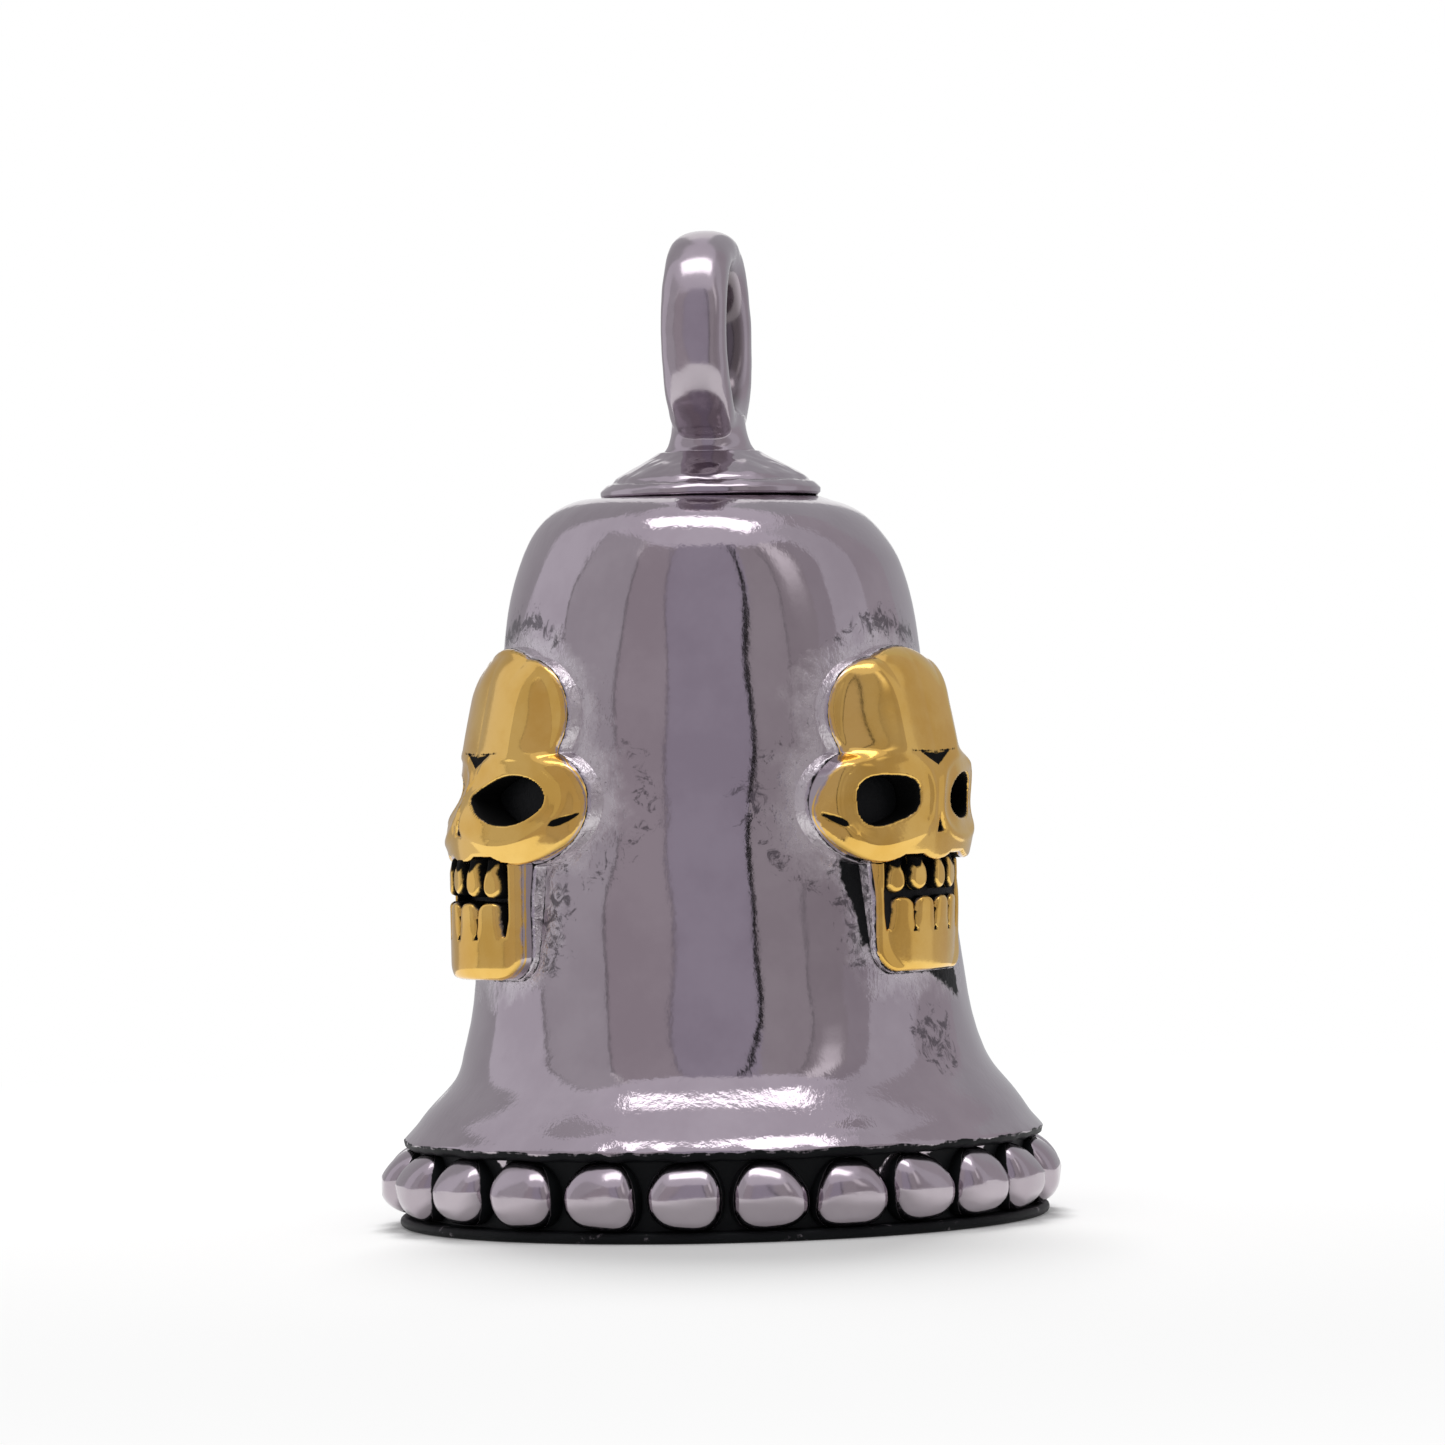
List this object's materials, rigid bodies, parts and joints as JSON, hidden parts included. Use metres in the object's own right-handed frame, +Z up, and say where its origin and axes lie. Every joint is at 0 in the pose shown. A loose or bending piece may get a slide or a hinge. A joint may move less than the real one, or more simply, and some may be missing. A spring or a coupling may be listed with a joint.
{
  "type": "small hanging bell",
  "caption": "Small hanging bell with a beaded rim, gilt skull ornaments round the waist, a hanging loop and a ring-hung clapper.",
  "frame": {"origin": "centre of the mouth, on the plane that the bell stands on", "axes": "+Z up the bell's axis to the hanging loop, +X along the hole through the loop, -Y the side seen between two of the skulls"},
  "size_m": [0.026, 0.026, 0.038],
  "materials": {
    "polished_silver": "polished, with fine scratches",
    "bead_silver": "polished, dark in the gaps",
    "wire_silver": "drawn wire, slightly dull",
    "ball_silver": "tumbled, slightly dull",
    "oxidised_silver": "blackened and pitted, polished at its edge",
    "gilt": "gold plate, polished"
  },
  "bodies": {
    "bell": {"bell_body": "polished_silver", "rim_beads": "bead_silver", "crown_cap": "polished_silver", "hanging_loop": "polished_silver", "clapper_staple": "wire_silver", "skull_seat_1": "oxidised_silver", "skull_seat_2": "oxidised_silver", "skull_seat_3": "oxidised_silver", "cranium_1": "gilt", "cranium_2": "gilt", "cranium_3": "gilt", "upper_teeth_1": "gilt", "upper_teeth_2": "gilt", "upper_teeth_3": "gilt", "jaw_1": "gilt", "jaw_2": "gilt", "jaw_3": "gilt"},
    "link": {"clapper_link": "wire_silver"},
    "clapper": {"clapper_rod": "wire_silver", "clapper_ball": "ball_silver"}
  },
  "joints": [
    {"name": "link_swing", "type": "hinge", "parent": "bell", "child": "link", "pos_m": [0, 0, 0.0242], "axis": [1, 0, 0], "range_deg": [-11, 11]},
    {"name": "clapper_swing", "type": "hinge", "parent": "link", "child": "clapper", "pos_m": [0, 0, 0.02191], "axis": [0, 1, 0], "range_deg": [-16, 16]}
  ]
}
